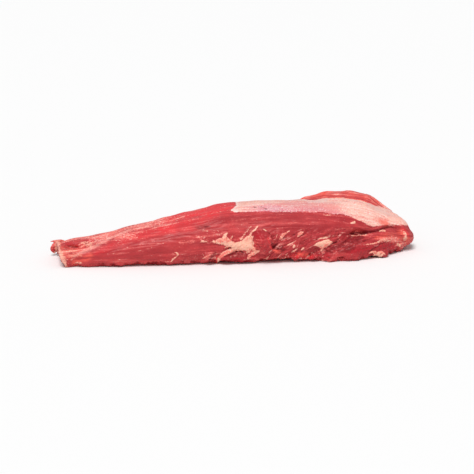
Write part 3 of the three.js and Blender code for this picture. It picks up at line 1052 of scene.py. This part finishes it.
class Sheet:
    """The node tree of one finish."""

    def __init__(self, name: str) -> None:
        """Makes a material with an empty tree."""
        self.material = bpy.data.materials.new(name)
        self.material.use_nodes = True
        self.tree = self.material.node_tree
        self.tree.nodes.clear()

    def node(self, kind: str, settings: dict[str, object], inputs: dict[object, object],
             output: object = 0) -> Socket:
        """Adds a node.

        Args:
            kind: the node's type.
            settings: what is set on the node itself, before its sockets.
            inputs: values or links for its sockets, by name or number.
            output: the socket to return, by name or number.

        Returns:
            The output, wrapped.
        """
        made = self.tree.nodes.new(kind)
        for name, value in settings.items():
            setattr(made, name, value)
        for name, value in inputs.items():
            if isinstance(value, Socket):
                self.tree.links.new(value.socket, made.inputs[name])
            else:
                made.inputs[name].default_value = value
        return Socket(self, made.outputs[output]) if made.outputs else None

    def attribute(self, name: str, output: str = "Fac") -> Socket:
        """Returns a painted attribute."""
        return self.node("ShaderNodeAttribute", {"attribute_name": name}, {}, output)

    def noise(self, place: Socket, scale: float, detail: float = 2.0, rough: float = 0.5) -> Socket:
        """Returns noise from 0 to 1 with cells of 1/scale metres."""
        inputs = {"Vector": place, "Scale": scale, "Detail": detail, "Roughness": rough}
        return self.node("ShaderNodeTexNoise", {}, inputs)

    def blend(self, share: Socket, first: Socket, second: Socket) -> Socket:
        """Blends two numbers by a share of the second."""
        return first + share * (second - first)

    def mix(self, share: Socket, first: object, second: object) -> Socket:
        """Mixes two colours by a share of the second."""
        return self.node("ShaderNodeMix", {"data_type": "RGBA"}, {0: share, 6: first, 7: second}, 2)

    def surface(self, shader: Socket) -> bpy.types.Material:
        """Makes a shader the material's surface and returns the material."""
        self.node("ShaderNodeOutputMaterial", {}, {"Surface": shader})
        return self.material


def srgb(red: int, green: int, blue: int) -> Colour:
    """Turns a colour as screens show it into the shader's own numbers."""
    shares = (part / 255 for part in (red, green, blue))
    linear = [s / 12.92 if s <= 0.04045 else ((s + 0.055) / 1.055) ** 2.4 for s in shares]
    return (*linear, 1)


class Patterns(NamedTuple):
    """What the colours are mixed by, each from 0 to 1.

    Fibre and bundle are fine and broad streaks along the grain. Blotch and fleck are patches and fine
    grains with no direction.
    """

    fibre: Socket
    bundle: Socket
    blotch: Socket
    fleck: Socket


@dataclass(frozen=True)
class RawBeef:
    """The finish of the meat: crimson fibres, pink sinew, silverskin and cream fat, all moist.

    The last sizes count the patterns' cells in a metre, and the slips of the torn front have their own.
    """

    deep: Colour = srgb(172, 52, 58)
    # A dark shaded red for painted shade in valleys and cracks.
    crease_shade: Colour = srgb(128, 32, 38)
    flesh: Colour = srgb(210, 76, 78)
    light: Colour = srgb(238, 118, 112)
    bright: Colour = srgb(240, 62, 68)
    crimson: Colour = srgb(184, 32, 46)
    pink: Colour = srgb(250, 132, 124)
    cream: Colour = srgb(253, 190, 166)
    pale: Colour = srgb(255, 196, 182)
    warm: Colour = srgb(246, 102, 88)
    shade: Colour = srgb(104, 12, 24)
    fat_cream: Colour = srgb(255, 194, 170)
    fat_pink: Colour = srgb(238, 120, 110)
    silver_cream: Colour = srgb(255, 202, 186)
    silver_lilac: Colour = srgb(222, 132, 158)
    silver_white: Colour = srgb(255, 236, 228)
    silver_pink: Colour = srgb(228, 138, 138)
    shine: Colour = srgb(255, 210, 200)
    relief_depth: float = 0.9 * MM
    glow_depth: float = 3.0 * MM
    sway: float = 4.0 * MM
    waves: float = 90.0
    fibres: float = 400.0
    slip_fibres: float = 420.0
    silver_fibres: float = 480.0
    bundles: float = 150.0
    slip_bundles: float = 190.0
    blotches: float = 45.0
    flecks: float = 560.0

    def cover(self, sheet: Sheet, name: str, patterns: Patterns, strays: tuple[float, float],
              edge: tuple[float, float]) -> Socket:
        """Returns where a painted cover lies; strays say how far fibres and flecks move its edge."""
        frayed = strays[0] * (patterns.fibre - 0.5) + strays[1] * (patterns.fleck - 0.5)
        return (sheet.attribute(name) + frayed).ease(*edge)

    def flesh_colour(self, sheet: Sheet, patterns: Patterns) -> Socket:
        """Colours bare muscle.

        Args:
            sheet: the finish's node tree.
            patterns: what its tones are mixed by.

        Returns:
            The colour.
        """
        fibre, bundle, blotch, fleck = patterns
        mix, painted = sheet.mix, sheet.attribute
        streaky = 0.5 * bundle + 0.5 * fibre
        bright = painted("bright")
        calm = bright.most(painted("calm"))
        clear = 1 - 0.65 * calm
        tone = (0.3 * bundle + 0.15 * blotch + 0.35 * fibre + 0.2 * fleck).ease(0.4, 0.6)
        colour = mix(sheet.blend(0.5 * calm, tone, 0.55), self.deep, self.flesh)
        colour = mix(fibre.ease(0.53, 0.72) * 0.5 * clear, colour, self.light)
        deep = painted("deep") * streaky.ease(0.74, 0.46)
        colour = mix(deep * 0.85, colour, self.deep)
        crimson = painted("crimson")
        colour = mix(crimson * fibre.ease(0.62, 0.46) * 0.7, colour, self.crimson)
        # Painted shade: the crease_shade patches darken the fibres in the valleys and cracks.
        crease_shade = painted("crease_shade") * (0.3 * bundle + 0.7 * fibre).ease(0.72, 0.48)
        colour = mix(crease_shade * 0.85, colour, self.crease_shade)
        patchy = (0.5 * blotch + 0.5 * bundle).ease(0.24, 0.5)
        colour = mix(bright * patchy * 0.7, colour, self.bright)
        wing = painted("wing")
        warm = painted("warm").most(wing)
        colour = mix(warm * fibre.ease(0.25, 0.55) * 0.85, colour, self.warm)
        # Pink patches: mostly the meat's paler tissue, and in two places painted highlights.
        pink = painted("pink")
        mottle = 2.4 * (fibre - 0.5) + 1.2 * (blotch - 0.5) + 1.4 * (fleck - 0.5)
        rosy = (0.9 * pink + 0.4 * wing).most(0.14)
        rosy = (rosy + mottle * rosy.ease(-0.1, 0.5)).ease(0.2, 1)
        colour = mix(rosy * 0.9, colour, self.pink)
        cream = painted("cream")
        cream = (cream + mottle * cream.ease(0, 0.4)).ease(0.3, 1)
        colour = mix(cream * 0.8, colour, self.cream)
        colour = mix(wing * streaky.ease(0.52, 0.4) * 0.75, colour, self.deep)
        colour = mix(fibre.ease(0.42, 0.3) * 0.5 * clear, colour, self.deep)
        seams = (bundle - 0.5).size().ease(0.035, 0) * fleck.ease(0.3, 0.55)
        colour = mix(seams * 0.4 * clear, colour, self.deep)
        torn = painted("fan").most(0.9 * wing)
        streaks = (fibre + 0.04 * torn + 0.03 * wing).ease(0.62, 0.72) * fleck.ease(0.35, 0.5)
        streaks = streaks * (0.2 * clear + 0.5 * torn + 0.15 * wing) * (1 - 0.7 * deep)
        colour = mix(streaks, colour, self.pale)
        # Pale flecks of the meat, with painted glints: a few more on the pink, bright and crimson patches,
        # and fewer in painted shade.
        flecks_and_glints = 0.65 * fleck + 0.35 * fibre + 0.1 * pink + 0.03 * bright + 0.03 * crimson
        return mix(flecks_and_glints.ease(0.61, 0.69) * (0.75 - 0.6 * crease_shade), colour, self.pale)

    def silver_colour(self, sheet: Sheet, patterns: Patterns) -> Socket:
        """Colours silverskin, with what shines through it.

        Args:
            sheet: the finish's node tree.
            patterns: what its tones are mixed by.

        Returns:
            The colour.
        """
        fibre, bundle, blotch, fleck = patterns
        mix, painted = sheet.mix, sheet.attribute
        lilac = painted("lilac") * (0.5 * bundle + 0.5 * fibre).ease(0.2, 0.56)
        colour = mix(lilac, self.silver_cream, self.silver_lilac)
        rosy = (0.45 * painted("blush") + 0.35 * bundle + 0.15 * blotch).ease(0.3, 0.7)
        colour = mix(rosy * 0.8, colour, self.silver_pink)
        dashes = 0.5 * fibre + 0.5 * fleck
        colour = mix(dashes.ease(0.5, 0.42) * 0.55, colour, self.silver_pink)
        colour = mix(dashes.ease(0.44, 0.36) * 0.4, colour, self.light)
        colour = mix(dashes.ease(0.51, 0.6) * 0.7, colour, self.silver_white)
        thin = painted("warm") * blotch.ease(0.25, 0.5)
        colour = mix(thin * 0.75, colour, self.warm)
        # Painted highlight along the silverskin's skyline, and its whiter torn edge, mixed towards white.
        return mix(painted("rim_highlight_and_edge") * 0.7, colour, self.silver_white)

    def make(self) -> bpy.types.Material:
        """Builds the finish.

        Returns:
            The material.
        """
        sheet = Sheet("raw_beef")
        place = sheet.node("ShaderNodeTexCoord", {}, {}, "Object")
        waver = sheet.node(
            "ShaderNodeTexNoise", {}, {"Vector": place, "Scale": self.waves, "Detail": 2}, "Color")
        waver = sheet.node("ShaderNodeVectorMath", {"operation": "MULTIPLY_ADD"}, {
            0: waver, 1: (self.sway,) * 3, 2: (-self.sway / 2,) * 3})
        grain = sheet.attribute("grain", "Vector") * (0.065, 1, 1) + waver * (0.2, 0.55, 0.55)
        slips = sheet.attribute("fan_grain", "Vector") * (0.14, 1, 1) + waver * (0.3, 0.6, 1)
        fan = sheet.attribute("fan")
        fibre = sheet.blend(
            fan, sheet.noise(grain, self.fibres, 3, 0.6), sheet.noise(slips, self.slip_fibres, 3, 0.6))
        bundle = sheet.blend(fan, sheet.noise(grain, self.bundles), sheet.noise(slips, self.slip_bundles))
        blotch = sheet.noise(place, self.blotches, 3)
        fleck = sheet.noise(place, self.flecks, 3, 0.6)
        patterns = Patterns(fibre, bundle, blotch, fleck)

        colour = self.flesh_colour(sheet, patterns)
        sinew = self.cover(sheet, "sinew", patterns, (1.4, 0.8), (0.3, 1))
        colour = sheet.mix(sinew * 0.32, colour, self.pale)

        silver = self.cover(sheet, "silver", patterns, (3.2, 2.4), (-0.5, 0.9))
        fine = sheet.noise(grain * (0.8, 1, 1), self.silver_fibres, 3, 0.65)
        silver_tone = self.silver_colour(sheet, patterns._replace(fibre=fine))
        colour = sheet.mix(silver * 0.95, colour, silver_tone)

        # Fat in cream and pink; the same cover paints the glints among the fat streaks, a painted
        # highlight.
        fat = self.cover(sheet, "fat", patterns, (3.6, 2.8), (-0.4, 0.7))
        fat_tone = sheet.mix((0.5 * fleck + 0.5 * bundle).ease(0.38, 0.54), self.fat_pink, self.fat_cream)
        colour = sheet.mix(fat, colour, fat_tone)

        # Painted shade: hollows, clefts and cracks are darkened towards the shade colour, less on fat and
        # silverskin.
        hollow = sheet.attribute("hollow").ease(0.12, 1.3) * (1 - 0.75 * fat) * (1 - 0.8 * silver)
        hollow_shade = hollow.most(sheet.attribute("cleft") * fibre.ease(0.8, 0.4) * (1 - 0.5 * fat))
        colour = sheet.mix(hollow_shade * 0.8, colour, self.shade)

        rough = 0.36 + 0.3 * (fleck - 0.5) + 0.08 * fat
        coat = (blotch.ease(0.42, 0.65) * 0.1 + silver * 0.08).most(0.03)
        relief = 0.5 * fibre + 0.3 * fleck + 0.2 * bundle
        bump = {"Strength": 0.6, "Distance": self.relief_depth, "Height": relief}
        normal = sheet.node("ShaderNodeBump", {}, bump)
        return sheet.surface(sheet.node("ShaderNodeBsdfPrincipled", {}, {
            "Base Color": colour,
            "Roughness": rough,
            "Specular IOR Level": 0.2,
            "Specular Tint": self.shine,
            "Subsurface Weight": 0.1,
            "Subsurface Radius": (1, 0.25, 0.15),
            "Subsurface Scale": self.glow_depth,
            "Coat Weight": coat,
            "Coat Roughness": 0.2,
            "Coat Tint": self.shine,
            "Normal": normal,
        }))


@dataclass
class Studio:
    """A pale floor, soft daylight and the camera at the photographer's angle."""

    floor_size: float = 14.0
    floor_drop: float = 0.2 * MM
    sensor: float = 36.0
    sky: float = 0.42
    sun: float = 2.37
    sun_from: tuple[float, float, float] = (-0.12, -0.45, 1.0)
    sun_width: float = 28.0

    def floor(self) -> None:
        """Lays the floor, just below the meat's base."""
        bpy.ops.mesh.primitive_plane_add(size=self.floor_size, location=(0, 0, -self.floor_drop))
        floor = bpy.context.object
        floor.name = "floor"
        sheet = Sheet("floor_white")
        shader = sheet.node("ShaderNodeBsdfPrincipled", {}, {
            "Base Color": (0.9, 0.9, 0.9, 1), "Roughness": 0.9, "Specular IOR Level": 0.1})
        floor.data.materials.append(sheet.surface(shader))

    def light(self) -> None:
        """Lights the room with a white sky and a wide, soft sun."""
        bpy.ops.object.light_add(type="SUN")
        sun = bpy.context.object
        sun.name = "lamp_sun"
        sun.data.energy = self.sun
        sun.data.angle = math.radians(self.sun_width)
        sun.rotation_euler = Vector(self.sun_from).to_track_quat("Z", "Y").to_euler()
        world = bpy.data.worlds.new("studio")
        world.use_nodes = True
        sky = world.node_tree.nodes["Background"].inputs
        sky["Color"].default_value = (1, 1, 1, 1)
        sky["Strength"].default_value = self.sky
        bpy.context.scene.world = world

    def camera(self) -> None:
        """Sets up the camera where the photograph was taken from."""
        view = Side.FRONT.value
        bpy.ops.object.camera_add(location=view.eye())
        camera = bpy.context.object
        camera.name = "camera"
        camera.data.sensor_width = self.sensor
        camera.data.lens = view.lens
        camera.rotation_euler = Vector(view.axes()[2]).to_track_quat("Z", "Y").to_euler()
        bpy.context.scene.camera = camera

    def build(self) -> None:
        """Builds the studio."""
        self.camera()
        self.floor()
        self.light()
        bpy.context.scene.view_settings.view_transform = "Standard"


def main() -> None:
    """Builds the studio and the meat, and logs its triangles and the part it replaces."""
    logging.basicConfig(level=logging.INFO, format="%(message)s")
    Studio().build()
    meat = Tenderloin().build()
    meat.data.materials.append(RawBeef().make())
    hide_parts(NODE)
    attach(meat, "root")
    LOG.info("%s: replaces %s", meat.name, NODE)


if __name__ == "__main__":
    main()
